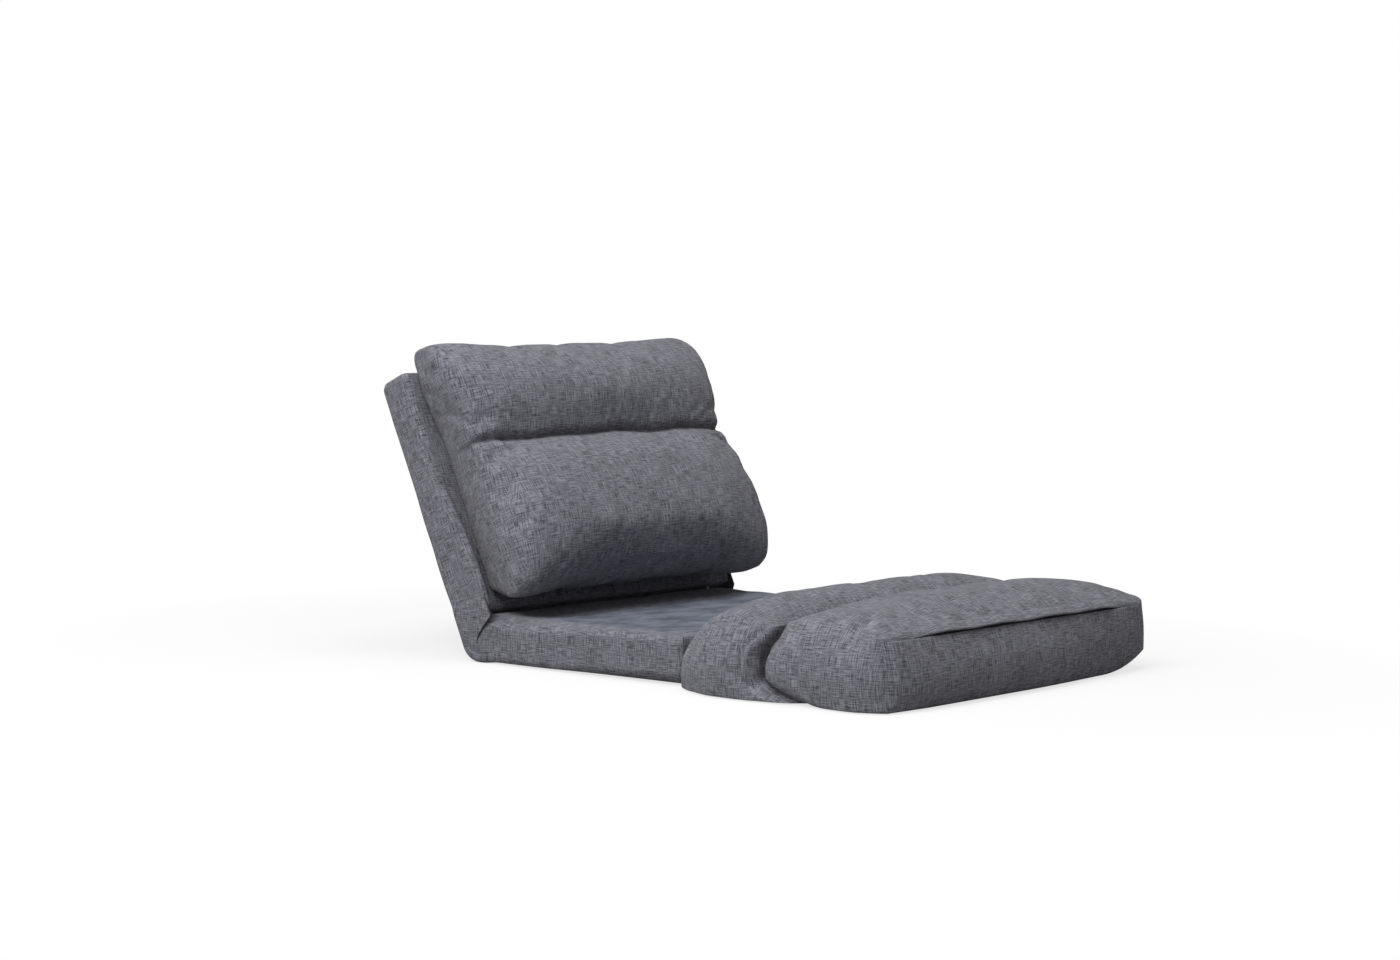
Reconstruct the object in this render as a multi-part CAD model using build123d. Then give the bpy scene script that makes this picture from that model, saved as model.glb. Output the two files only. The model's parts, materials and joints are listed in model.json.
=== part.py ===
from build123d import *
import math
import os

# Lengths are in millimetres and angles in degrees.  The origin lies on the floor under the middle of
# the seat.  +Z is up, the chair faces -Y, and the backrest and the leg section fold about lines along X.

# Seat and backrest pads
PAD_WIDTH = 700.0            # seat and backrest, across
SEAT_SPAN = 496.0            # from the leg fold line to the recline axis
SEAT_HEIGHT = 85.0
BACK_LENGTH = 510.0          # from the recline axis to the top edge
BACK_FRONT = 25.0            # frame plane to the front face
BACK_REAR = 42.0             # frame plane to the rear face
PAD_EDGE_ROUND = 14.0        # sewn edges along both sides
SEAT_FRONT_ROUND = 9.0
BACK_TOP_ROUND = 22.0
CLOTH = 2.0                  # cover cloth with its wadding
FOAM_FIT = 0.5               # cover to filling
LINING_MARGIN = 48.0         # seat edge to the smooth lining panel
LINING_REAR = 96.0           # recline axis to the lining panel
BASE_MARGIN = 40.0           # pad edge to the seam of the base cloth

# Recline: the backrest stands in the second notch
TILT_STEP = 24.0             # from one notch to the next
FLAT_TILT = 90.0
HINGE_GAP = 1.5              # round end of the seat to the hollow end of the backrest
LIP_START = 24.0             # recline axis to the end of the rear lip

# Bent tube frames
TUBE_RADIUS = 10.0
TUBE_WALL = 1.5
TUBE_BEND = 70.0             # radius of the two bends in each frame
FRAME_HALF_WIDTH = 300.0     # middle of the chair to a side tube
FRAME_INSET = 40.0           # pad end to the middle of the end tube
BAR_RADIUS = 8.0
BAR_WALL = 1.2
WELD_GAP = 0.05
SEAT_TUBE_START = 86.0       # recline axis to the open end of a seat tube
BACK_TUBE_START = 75.0
BAR_COUNT = 2                # cross bars in each frame

# Ratchet hinges
HUB_RADIUS = 27.0            # tip of the teeth
ROOT_RADIUS = 22.0
NOTCH_ANGLE = -12.0          # loaded face of the notch, above the line to the front
NOTCH_FLOOR = 6.0
NOTCH_RAMP = 17.0
NOTCH_DRAFT = 2.5            # the loaded face opens outwards, for the nose's swing
RAMP_OVERCUT = 0.5           # share of the ramp by which its cut runs past the tip
ARM_THICKNESS = 4.0
ARM_WIDTH = 16.0             # stem that goes into a tube
ARM_INSERT = 60.0            # length of the stem inside a tube
PLATE_THICKNESS = 2.5
PLATE_ROUND = 30.0           # plate's radius about the recline axis
PLATE_HALF_HEIGHT = 31.0
PLATE_GAP = 0.3              # moving plate to a side plate
BRIDGE_REAR = 64.0           # recline axis to the rear edge of the bridge
BRIDGE_HALF_HEIGHT = 22.0
PIVOT_RADIUS = 5.0
PAWL_PIVOT_FORWARD = 33.0    # pawl pin from the recline axis
PAWL_PIVOT_UP = 22.5
PAWL_PIN_RADIUS = 3.0
PAWL_BOSS = 6.5
PAWL_HALF_WIDTH = 3.8
PAWL_NOSE_ANGLE = 2.5        # loaded face to the nose
PAWL_NOSE_WIDTH = 5.0        # nose outside the teeth
PAWL_PLAY = 0.4              # nose to the notch
PAWL_LIFT = 14.0             # turn that takes the nose clear of the teeth
PIN_FIT = 0.05               # radial, pin to hole
RIVET_RADIUS = 2.5
RIVET_HEAD = 2.2             # height of a head
HEAD_RATIO = 1.7             # head to shank
RIVET_PITCH = 24.0
RIVET_EDGE = 6.25            # edge of the bridge to a rivet
SPRING_THICKNESS = 0.8
SPRING_WIDTH = 3.6
SPRING_DROP = 10.0           # root of the leaf spring below the recline axis
SPRING_GAP = 0.3             # leaf spring to the lifted pawl
SPRING_REACH = 0.7           # where the leaf touches, as a share of the pawl's back
HINGE_POCKET = 14.0          # half width of the slot in the foam
HINGE_SLOT = 8.0             # half width of the slot in the covers
SLOT_ROOM = 2.0              # stem to the edge of a slot

# Leg section
LEG_WIDTH = 780.0
LEG_LENGTH = 457.0           # from the fold line to the front face
LEG_CROWN_REAR = 158.0
LEG_CROWN_FRONT = 166.0
LEG_CREASE_AT = 275.0        # fold line to the sewn channel
LEG_CREASE_HEIGHT = 110.0
LEG_REAR_HEIGHT = 88.0
LEG_FRONT_HEIGHT = 121.0     # seam above the front panel
LEG_FOOT_ROUND = 36.0        # lower front edge, before the underside is pressed flat
LEG_PRESSED = 12.0           # depth that the floor presses flat
LEG_END_DRAW = 14.0          # how far the corners are drawn in
LEG_WAIST = 62.0             # height of the widest line of the sides
FOLD_GAP = 3.0
FOLD_CLOTH = 2.2
FOLD_MARGIN = 8.0
PANEL_FOOT = 27.0            # lower seam of the front panel
PANEL_MARGIN = 28.0          # side of the cushion to the end of the front panel
LEG_BASE_MARGIN = 80.0       # side of the cushion to the base cloth

# Zip on the front panel
ZIP_MARGIN = 90.0            # side of the cushion to the end of the zip
ZIP_DROP = 11.0              # panel's upper seam to the middle of the zip
ZIP_TAPE_WIDTH = 14.0
ZIP_TAPE = 1.0
ZIP_COIL_WIDTH = 3.0
ZIP_COIL = 1.6
ZIP_SEAT = 0.3
SLIDER_LENGTH = 10.0
SLIDER_WIDTH = 9.0
SLIDER_DEPTH = 4.4
SLIDER_PLAY = 0.4
PULL_LENGTH = 26.0
PULL_WIDTH = 6.0
PULL_THICKNESS = 1.4

# Back pillow
PILLOW_WIDTH = 650.0
PILLOW_LOW = 50.0            # recline axis to the lower edge, along the backrest
PILLOW_HIGH = 540.0
PILLOW_CHANNEL = 330.0
PILLOW_LOW_DEPTH = 177.0     # crown of the lower lobe
PILLOW_HIGH_DEPTH = 148.0
PILLOW_CHANNEL_DEPTH = 129.0
PILLOW_TOE_DEPTH = 142.0     # lower front edge
PILLOW_TOE_RISE = 10.0
PILLOW_BELLY_DEPTH = 174.0   # where the front of the lower lobe starts
PILLOW_BELLY_RISE = 64.0
PILLOW_BROW_DEPTH = 117.0    # upper front edge
PILLOW_BROW_DROP = 34.0
PILLOW_HEEL_RISE = 24.0      # lower and upper edges of the flat back
PILLOW_NAPE_DROP = 12.0
PILLOW_END_DRAW = 26.0
STRIP_WIDTH = 50.0           # hook and loop strips
STRIP_THICKNESS = 1.5
STRIP_OFFSET = 180.0         # middle of the chair to the middle of a strip
STRIP_LOW = 130.0
STRIP_HIGH = 470.0
HOOK_LENGTH = 160.0
STRIP_GAP = 0.3

# Cushion ends
CROWN_POWER = 5.0            # roundness of the tops over the width
FOOT_POWER = 9.0             # roundness of the undersides
END_SHARE = 0.94             # where the end seam cuts the tops' rounding
FOOT_SHARE = 0.99            # where it cuts the undersides' rounding
STATION_COUNT = 7            # cross sections from the middle to an end
CHAMBER_GAP = 0.5            # between the two lobes at a sewn channel

# Derived places
AXIS_Y = SEAT_SPAN / 2
AXIS_Z = SEAT_HEIGHT / 2
FOLD_Y = -SEAT_SPAN / 2
REST_TILT = TILT_STEP
SET_TILTS = (0.0, TILT_STEP, 2 * TILT_STEP, 3 * TILT_STEP, FLAT_TILT)
FILL_INSET = CLOTH + FOAM_FIT
BACK_END = SEAT_HEIGHT / 2 + HINGE_GAP
PILLOW_REAR = BACK_FRONT + 2 * STRIP_THICKNESS + STRIP_GAP
PLATE_INNER = ARM_THICKNESS / 2 + PLATE_GAP
PLATE_OUTER = PLATE_INNER + PLATE_THICKNESS
LEG_REAR = FOLD_GAP / 2
ZIP_Z = LEG_FRONT_HEIGHT - ZIP_DROP
ZIP_LENGTH = LEG_WIDTH - 2 * ZIP_MARGIN
SIDES = {"left": 1, "right": -1}
ON_SEAT = Pos(0, AXIS_Y, AXIS_Z)
ON_BACK = ON_SEAT * Rot(-REST_TILT, 0, 0)


def block(x, y, z):
    """Box between two limits along each axis."""
    size = (x[1] - x[0], y[1] - y[0], z[1] - z[0])
    return Pos((x[0] + x[1]) / 2, (y[0] + y[1]) / 2, (z[0] + z[1]) / 2) * Box(*size)


def across(profile, half_width, x=0.0):
    """Profile in the YZ plane, thickened to both sides of x."""
    return Pos(x, 0, 0) * extrude(Plane.YZ * profile, half_width, both=True)


def pin(x, y, z, radius, half_length):
    """Round pin along X."""
    return Pos(x, y, z) * Rot(0, 90, 0) * Cylinder(radius, 2 * half_length)


def rivet(x, y, z, radius, half_grip):
    """Pin with a head at each end."""
    middle = half_grip + RIVET_HEAD / 2
    heads = [pin(x + side * middle, y, z, HEAD_RATIO * radius, RIVET_HEAD / 2) for side in (-1, 1)]
    return pin(x, y, z, radius, half_grip) + heads


def round_sides(pad, radius):
    """Round the two closed edges where a pad's profile meets its sides."""
    ends = pad.faces().sort_by(Axis.X)
    return fillet(ends[0].edges() + ends[-1].edges(), radius)


def seat_form(inset):
    """Seat pad with a half-round rear end about the recline axis, shrunk all round."""
    radius = SEAT_HEIGHT / 2 - inset
    front = FOLD_Y + FOLD_GAP / 2 + inset
    low = inset
    high = SEAT_HEIGHT - inset
    face = make_face([
        Line((front, low), (AXIS_Y, low)),
        ThreePointArc((AXIS_Y, low), (AXIS_Y + radius, AXIS_Z), (AXIS_Y, high)),
        Line((AXIS_Y, high), (front, high)),
        Line((front, high), (front, low)),
    ])
    face = fillet(face.vertices().group_by(Axis.X)[0], SEAT_FRONT_ROUND - inset)
    return round_sides(across(face, PAD_WIDTH / 2 - inset), PAD_EDGE_ROUND - inset)


def back_form(inset):
    """Upright backrest pad whose lower end is hollowed round the seat's rear end, shrunk all round."""
    rear = BACK_REAR - inset
    front = inset - BACK_FRONT
    top = BACK_LENGTH - inset
    end = BACK_END + inset
    wide = (-PAD_WIDTH, PAD_WIDTH)
    slab = make_face(Polyline((rear, -end), (rear, top), (front, top), (front, -end), close=True))
    slab = fillet(slab.vertices().group_by(Axis.Y)[-1], BACK_TOP_ROUND - inset)
    pad = round_sides(across(slab, PAD_WIDTH / 2 - inset), PAD_EDGE_ROUND - inset)
    pad -= block(wide, (2 * front, 2 * rear), (-2 * end, LIP_START + inset))
    pad -= block(wide, (2 * front, 0), (-2 * end, end))
    return pad - pin(0, 0, 0, end, PAD_WIDTH)


def crown(share, power, end_share):
    """Height of a cushion's rounding at a share of its half width, 1 in the middle."""
    return (1 - (end_share * share) ** power) ** (1 / power)


def fitted(point, frame, box):
    """Point of the frame, carried to the same place in a box."""
    shares = [(v - low) / (high - low) for v, (low, high) in zip(point, frame)]
    return tuple(low + share * (high - low) for share, (low, high) in zip(shares, box))


def cushion(outline, frame, boxes):
    """Loft through copies of an outline, each fitted from the frame into the box of its station."""
    sections = []
    for x, box in boxes:
        edges = []
        for points in outline:
            places = [fitted(point, frame, box) for point in points]
            edges.append(Line(*places) if len(places) == 2 else ThreePointArc(*places))
        sections.append(Pos(x, 0, 0) * (Plane.YZ * make_face(edges)))
    return loft(sections, ruled=True)


def stations(half_width):
    """Places across a cushion, closer towards its ends, with each place's share of the half width."""
    turns = [math.pi / 2 * step / STATION_COUNT for step in range(-STATION_COUNT, STATION_COUNT + 1)]
    return [(half_width * math.sin(turn), abs(math.sin(turn))) for turn in turns]


def leg_lobes():
    """Rear and front lobes of the leg cushion, round at the ends and pressed flat underneath."""
    rear = FOLD_Y - LEG_REAR
    front = FOLD_Y - LEG_LENGTH + CLOTH
    crease = FOLD_Y - LEG_CREASE_AT
    sole = -LEG_PRESSED
    rear_crease = (crease + CHAMBER_GAP / 2, LEG_CREASE_HEIGHT)
    front_crease = (crease - CHAMBER_GAP / 2, LEG_CREASE_HEIGHT)
    seam = (front, LEG_FRONT_HEIGHT)
    heel = (rear, LEG_REAR_HEIGHT)
    foot = (front + LEG_FOOT_ROUND, sole)
    toe = (front, sole + LEG_FOOT_ROUND)
    foot_turn = LEG_FOOT_ROUND * (1 - math.sqrt(0.5))
    rear_outline = [
        [(rear, sole), (rear_crease[0], sole)],
        [(rear_crease[0], sole), rear_crease],
        [rear_crease, ((rear + crease) / 2, LEG_CROWN_REAR), heel],
        [heel, (rear, sole)],
    ]
    front_outline = [
        [(front_crease[0], sole), foot],
        [foot, (front + foot_turn, sole + foot_turn), toe],
        [toe, seam],
        [seam, ((front + crease) / 2, LEG_CROWN_FRONT), front_crease],
        [front_crease, (front_crease[0], sole)],
    ]
    frame = ((front, rear), (sole, LEG_CROWN_FRONT))
    boxes = []
    for x, share in stations(LEG_WIDTH / 2):
        top = crown(share, CROWN_POWER, END_SHARE)
        draw = LEG_END_DRAW * (1 - top)
        low = LEG_WAIST - (LEG_WAIST - sole) * crown(share, FOOT_POWER, FOOT_SHARE)
        high = LEG_WAIST + (LEG_CROWN_FRONT - LEG_WAIST) * top
        boxes.append((x, ((front + draw, rear - draw), (low, high))))
    above_floor = block((-LEG_WIDTH, LEG_WIDTH), (2 * front, -2 * front), (CLOTH, SEAT_SPAN))
    return [cushion(outline, frame, boxes) & above_floor for outline in (rear_outline, front_outline)]


def pillow_lobes():
    """Lower and upper lobes of the pillow, with flat backs, standing upright in front of the backrest."""
    low_front = -PILLOW_REAR - PILLOW_LOW_DEPTH
    rear = -PILLOW_REAR
    heel = (rear, PILLOW_LOW + PILLOW_HEEL_RISE)
    toe = (rear - PILLOW_TOE_DEPTH, PILLOW_LOW + PILLOW_TOE_RISE)
    belly = (rear - PILLOW_BELLY_DEPTH, PILLOW_LOW + PILLOW_BELLY_RISE)
    under = PILLOW_CHANNEL - CHAMBER_GAP / 2
    over = PILLOW_CHANNEL + CHAMBER_GAP / 2
    channel = rear - PILLOW_CHANNEL_DEPTH
    brow = (rear - PILLOW_BROW_DEPTH, PILLOW_HIGH - PILLOW_BROW_DROP)
    nape = (rear, PILLOW_HIGH - PILLOW_NAPE_DROP)
    chin = (rear - (PILLOW_TOE_DEPTH + PILLOW_LOW_DEPTH) / 2, PILLOW_LOW + PILLOW_BELLY_RISE / 2)
    lower_outline = [
        [heel, (rear - PILLOW_TOE_DEPTH / 2, PILLOW_LOW), toe],
        [toe, chin, belly],
        [belly, (low_front, (2 * belly[1] + under) / 3), (channel, under)],
        [(channel, under), (rear, under)],
        [(rear, under), heel],
    ]
    upper_outline = [
        [(channel, over), (rear - PILLOW_HIGH_DEPTH, (over + brow[1]) / 2), brow],
        [brow, (rear - PILLOW_BROW_DEPTH / 2, PILLOW_HIGH), nape],
        [nape, (rear, over)],
        [(rear, over), (channel, over)],
    ]
    frame = ((low_front, rear), (PILLOW_LOW, PILLOW_HIGH))
    boxes = []
    for x, share in stations(PILLOW_WIDTH / 2):
        full = crown(share, CROWN_POWER, END_SHARE)
        draw = PILLOW_END_DRAW * (1 - full)
        depths = (rear - PILLOW_LOW_DEPTH * full, rear)
        boxes.append((x, (depths, (PILLOW_LOW + draw, PILLOW_HIGH - draw))))
    return [cushion(outline, frame, boxes) for outline in (lower_outline, upper_outline)]


def tube_frame(reach, end, radius):
    """Solid bent rod along a U in the XY plane, with open ends at reach and its bend at end."""
    path = FilletPolyline(
        (-FRAME_HALF_WIDTH, reach, 0),
        (-FRAME_HALF_WIDTH, end, 0),
        (FRAME_HALF_WIDTH, end, 0),
        (FRAME_HALF_WIDTH, reach, 0),
        radius=TUBE_BEND,
    )
    return sweep(Plane(path @ 0, z_dir=path % 0) * Circle(radius), path)


def cross_bar(y, radius):
    """Solid rod between the two side tubes."""
    return pin(0, y, 0, radius, FRAME_HALF_WIDTH)


def bar_places(reach, end):
    """Even places for the cross bars between a frame's open end and its bend."""
    pitch = (end - reach) / (BAR_COUNT + 1)
    return [reach + pitch * (number + 1) for number in range(BAR_COUNT)]


def frame_set(reach, end, stem_places):
    """Tube frame with its rivet holes, its cross bars, and the room that they take in the foam."""
    rod = tube_frame(reach, end, TUBE_RADIUS)
    tube = rod - tube_frame(reach, end, TUBE_RADIUS - TUBE_WALL)
    for side in SIDES.values():
        for y in stem_places:
            tube -= pin(side * FRAME_HALF_WIDTH, y, 0, RIVET_RADIUS + PIN_FIT, 2 * TUBE_RADIUS)
    room = tube_frame(reach, end, TUBE_RADIUS + FOAM_FIT)
    cope = tube_frame(reach, end, TUBE_RADIUS + WELD_GAP)
    bars = []
    for y in bar_places(reach, end):
        bars.append(cross_bar(y, BAR_RADIUS) - cross_bar(y, BAR_RADIUS - BAR_WALL) - cope)
        room += cross_bar(y, BAR_RADIUS + FOAM_FIT)
    return tube, bars, room


def hinge_point(radius, angle):
    """Point round the recline axis, at an angle above the line to the front."""
    turn = math.radians(angle)
    return Vector(-radius * math.cos(turn), radius * math.sin(turn))


def notch():
    """Room cut in the hub for the pawl's nose: a loaded face, a floor and a ramp."""
    floor_end = hinge_point(ROOT_RADIUS, NOTCH_ANGLE + NOTCH_FLOOR)
    crest = hinge_point(HUB_RADIUS, NOTCH_ANGLE + NOTCH_RAMP)
    return make_face(Polyline(
        hinge_point(2 * HUB_RADIUS - ROOT_RADIUS, NOTCH_ANGLE - 2 * NOTCH_DRAFT),
        hinge_point(ROOT_RADIUS, NOTCH_ANGLE),
        floor_end,
        crest + (crest - floor_end) * RAMP_OVERCUT,
        close=True,
    ))


def toothed_arm(x):
    """Hub with a notch for each set angle and a stem up into the backrest's tube."""
    stem_top = BACK_TUBE_START + ARM_INSERT
    hub = Circle(HUB_RADIUS) + Pos(0, stem_top / 2) * Rectangle(ARM_WIDTH, stem_top)
    arm = across(hub, ARM_THICKNESS / 2, x) - pin(x, 0, 0, PIVOT_RADIUS + PIN_FIT, HUB_RADIUS)
    tooth = across(notch(), ARM_THICKNESS, x)
    for tilt in SET_TILTS:
        arm -= Rot(tilt, 0, 0) * tooth
    for z in stem_rivets(BACK_TUBE_START):
        arm -= pin(x, 0, z, RIVET_RADIUS + PIN_FIT, HUB_RADIUS)
    return arm


def stem_rivets(start):
    """Distances from the recline axis to the two rivets through a stem and its tube."""
    middle = start + ARM_INSERT / 2
    return middle - RIVET_PITCH / 2, middle + RIVET_PITCH / 2


def bridge_rivets():
    """Places of the two rivets that hold the side plates to the bridge."""
    y = -(BRIDGE_REAR + SEAT_TUBE_START) / 2
    return [(y, side * (BRIDGE_HALF_HEIGHT - RIVET_EDGE)) for side in (-1, 1)]


def bridge(x):
    """Plate between the side plates, with a stem into the seat's tube."""
    head_length = SEAT_TUBE_START - BRIDGE_REAR
    head = Pos(-BRIDGE_REAR - head_length / 2, 0) * Rectangle(head_length, 2 * BRIDGE_HALF_HEIGHT)
    stem = Pos(-SEAT_TUBE_START - ARM_INSERT / 2, 0) * Rectangle(ARM_INSERT, ARM_WIDTH)
    plate = across(head + stem, PLATE_INNER, x)
    for y in stem_rivets(SEAT_TUBE_START):
        plate -= pin(x, -y, 0, RIVET_RADIUS + PIN_FIT, HUB_RADIUS)
    for y, z in bridge_rivets():
        plate -= pin(x, y, z, RIVET_RADIUS + PIN_FIT, HUB_RADIUS)
    return plate


def side_plate(x):
    """Plate beside the hub, round at the rear and square at the bridge."""
    tail = Pos(-SEAT_TUBE_START / 2, 0) * Rectangle(SEAT_TUBE_START, 2 * PLATE_HALF_HEIGHT)
    tail = fillet(tail.vertices().group_by(Axis.X)[0], PLATE_HALF_HEIGHT - BRIDGE_HALF_HEIGHT)
    plate = across(Circle(PLATE_ROUND) + tail, PLATE_THICKNESS / 2, x)
    plate -= pin(x, 0, 0, PIVOT_RADIUS + PIN_FIT, HUB_RADIUS)
    plate -= pin(x, -PAWL_PIVOT_FORWARD, PAWL_PIVOT_UP, PAWL_PIN_RADIUS + PIN_FIT, HUB_RADIUS)
    for y, z in bridge_rivets():
        plate -= pin(x, y, z, RIVET_RADIUS + PIN_FIT, HUB_RADIUS)
    return plate


def lifted(point):
    """Point of the engaged pawl, turned back with it about its pin."""
    pivot = Vector(-PAWL_PIVOT_FORWARD, PAWL_PIVOT_UP)
    return pivot + (point - pivot).rotate(Axis.Z, -PAWL_LIFT)


def pawl_corners():
    """Nose, bend past the tooth, two sides at the pin and shoulder of the pawl in a notch."""
    nose_angle = NOTCH_ANGLE + PAWL_NOSE_ANGLE
    nose = hinge_point(ROOT_RADIUS + PAWL_PLAY, nose_angle)
    bend = hinge_point(HUB_RADIUS + PAWL_PLAY, NOTCH_ANGLE + NOTCH_RAMP)
    shoulder = hinge_point(HUB_RADIUS + PAWL_NOSE_WIDTH, nose_angle)
    pivot = Vector(-PAWL_PIVOT_FORWARD, PAWL_PIVOT_UP)
    along = (pivot - bend).normalized()
    beside = Vector(-along.Y, along.X) * PAWL_HALF_WIDTH
    return nose, bend, pivot - beside, pivot + beside, shoulder


def pawl(x):
    """Strut from its pin to a nose that fits the notches, turned back clear of the teeth."""
    strut = make_face(Polyline(*[lifted(corner) for corner in pawl_corners()], close=True))
    boss = Pos(-PAWL_PIVOT_FORWARD, PAWL_PIVOT_UP) * Circle(PAWL_BOSS)
    hole = pin(x, -PAWL_PIVOT_FORWARD, PAWL_PIVOT_UP, PAWL_PIN_RADIUS + PIN_FIT, HUB_RADIUS)
    return across(strut + boss, ARM_THICKNESS / 2, x) - hole


def pawl_spring(x):
    """Leaf from the bridge to the back of the lifted pawl."""
    outer, shoulder = [lifted(corner) for corner in pawl_corners()[-2:]]
    along = (shoulder - outer).normalized()
    away = Vector(along.Y, -along.X)
    root = Vector(-BRIDGE_REAR, -SPRING_DROP)
    tip = outer + (shoulder - outer) * SPRING_REACH + away * (SPRING_GAP + SPRING_THICKNESS)
    half = Vector(0, SPRING_THICKNESS / 2)
    leaf = make_face(Polyline(root - half, tip - half, tip + half, root + half, close=True))
    return across(leaf, SPRING_WIDTH / 2, x)


def hinge_parts(side):
    """Pieces of one ratchet hinge, on the seat and on the backrest."""
    x = SIDES[side] * FRAME_HALF_WIDTH
    middle = (PLATE_INNER + PLATE_OUTER) / 2
    pawl_pin = rivet(x, -PAWL_PIVOT_FORWARD, PAWL_PIVOT_UP, PAWL_PIN_RADIUS, PLATE_OUTER)
    on_seat = {
        "plate_outer": side_plate(x + SIDES[side] * middle),
        "plate_inner": side_plate(x - SIDES[side] * middle),
        "bridge": bridge(x),
        "pivot": rivet(x, 0, 0, PIVOT_RADIUS, PLATE_OUTER),
        "pawl": pawl(x),
        "pawl_pin": pawl_pin,
        "pawl_spring": pawl_spring(x),
    }
    pieces = {f"hinge_{name}_{side}": ON_SEAT * piece for name, piece in on_seat.items()}
    pieces[f"hinge_arm_{side}"] = ON_BACK * toothed_arm(x)
    return pieces


def hinge_rooms(half_width, y, z):
    """Blocks about the two hinges, in the frame of the recline axis."""
    return [
        block((x - half_width, x + half_width), y, z)
        for x in (side * FRAME_HALF_WIDTH for side in SIDES.values())
    ]


def seat_parts():
    """Seat pad: cover, lining, base cloth, two foam halves, frame and rivets."""
    end = FOLD_Y + FRAME_INSET - AXIS_Y
    rivets_y = [-y for y in stem_rivets(SEAT_TUBE_START)]
    tube, bars, room = frame_set(-SEAT_TUBE_START, end, rivets_y)
    half = PAD_WIDTH / 2
    lining = block(
        (LINING_MARGIN - half, half - LINING_MARGIN),
        (FOLD_Y + LINING_MARGIN, AXIS_Y - LINING_REAR),
        (SEAT_HEIGHT - CLOTH, SEAT_HEIGHT),
    )
    base = block((BASE_MARGIN - half, half - BASE_MARGIN), (FOLD_Y + BASE_MARGIN, AXIS_Y), (0, CLOTH))
    stem = ARM_WIDTH / 2 + SLOT_ROOM
    slots = hinge_rooms(HINGE_SLOT, (-stem, SEAT_HEIGHT), (-stem, SEAT_HEIGHT))
    pocket_y = (-SEAT_TUBE_START - ARM_INSERT, SEAT_HEIGHT)
    pockets = hinge_rooms(HINGE_POCKET, pocket_y, (-SEAT_HEIGHT, SEAT_HEIGHT))
    foam = seat_form(FILL_INSET) - ON_SEAT * room - [ON_SEAT * pocket for pocket in pockets]
    span = (-PAD_WIDTH, PAD_WIDTH), (-SEAT_SPAN, SEAT_SPAN)
    rivets = []
    for x in (side * FRAME_HALF_WIDTH for side in SIDES.values()):
        rivets += [rivet(x, y, 0, RIVET_RADIUS, TUBE_RADIUS) for y in rivets_y]
        rivets += [rivet(x, y, z, RIVET_RADIUS, PLATE_OUTER) for y, z in bridge_rivets()]
    return {
        "seat_cover": seat_form(0) - seat_form(CLOTH) - lining - base - [ON_SEAT * slot for slot in slots],
        "seat_lining": lining,
        "seat_base_cloth": base,
        "seat_foam_upper": foam & block(*span, (AXIS_Z, SEAT_HEIGHT)),
        "seat_foam_lower": foam & block(*span, (0, AXIS_Z)),
        "seat_frame": ON_SEAT * tube,
        "seat_cross_bars": Compound(children=[ON_SEAT * bar for bar in bars]),
        "seat_rivets": Compound(children=[ON_SEAT * piece for piece in rivets]),
    }


def strip_pair(y, low, high):
    """Two upright strips, either side of the middle."""
    return Compound(children=[
        ON_BACK * block((x - STRIP_WIDTH / 2, x + STRIP_WIDTH / 2), y, (low, high))
        for x in (-STRIP_OFFSET, STRIP_OFFSET)
    ])


def back_parts():
    """Backrest pad: cover, two foam halves, frame, rivets and loop strips."""
    stand = Rot(90, 0, 0)
    rivets_z = stem_rivets(BACK_TUBE_START)
    tube, bars, room = frame_set(BACK_TUBE_START, BACK_LENGTH - FRAME_INSET, rivets_z)
    stem = ARM_WIDTH / 2 + SLOT_ROOM
    slots = hinge_rooms(HINGE_SLOT, (-stem, stem), (0, BACK_TUBE_START))
    pocket_z = (0, BACK_TUBE_START + ARM_INSERT)
    pockets = hinge_rooms(HINGE_POCKET, (-BACK_LENGTH, BACK_LENGTH), pocket_z)
    foam = back_form(FILL_INSET) - stand * room - pockets
    span = (0, BACK_LENGTH)
    wide = (-PAD_WIDTH, PAD_WIDTH)
    rivets = [
        rivet(side * FRAME_HALF_WIDTH, 0, z, RIVET_RADIUS, TUBE_RADIUS)
        for side in SIDES.values() for z in rivets_z
    ]
    return {
        "back_cover": ON_BACK * (back_form(0) - back_form(CLOTH) - slots),
        "back_foam_front": ON_BACK * (foam & block(wide, (-BACK_LENGTH, 0), span)),
        "back_foam_rear": ON_BACK * (foam & block(wide, (0, BACK_LENGTH), span)),
        "back_frame": ON_BACK * stand * tube,
        "back_cross_bars": Compound(children=[ON_BACK * stand * bar for bar in bars]),
        "back_rivets": Compound(children=[ON_BACK * piece for piece in rivets]),
        "back_loop_strips": strip_pair((-BACK_FRONT - STRIP_THICKNESS, -BACK_FRONT), STRIP_LOW, STRIP_HIGH),
    }


def pillow_parts():
    """Pillow: a stuffed lobe either side of its sewn channel, and hook strips on its back."""
    lower, upper = pillow_lobes()
    return {
        "pillow_lobe_lower": ON_BACK * lower,
        "pillow_lobe_upper": ON_BACK * upper,
        "pillow_hook_strips": strip_pair(
            (-PILLOW_REAR, STRIP_THICKNESS - PILLOW_REAR), STRIP_LOW, STRIP_LOW + HOOK_LENGTH
        ),
    }


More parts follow.
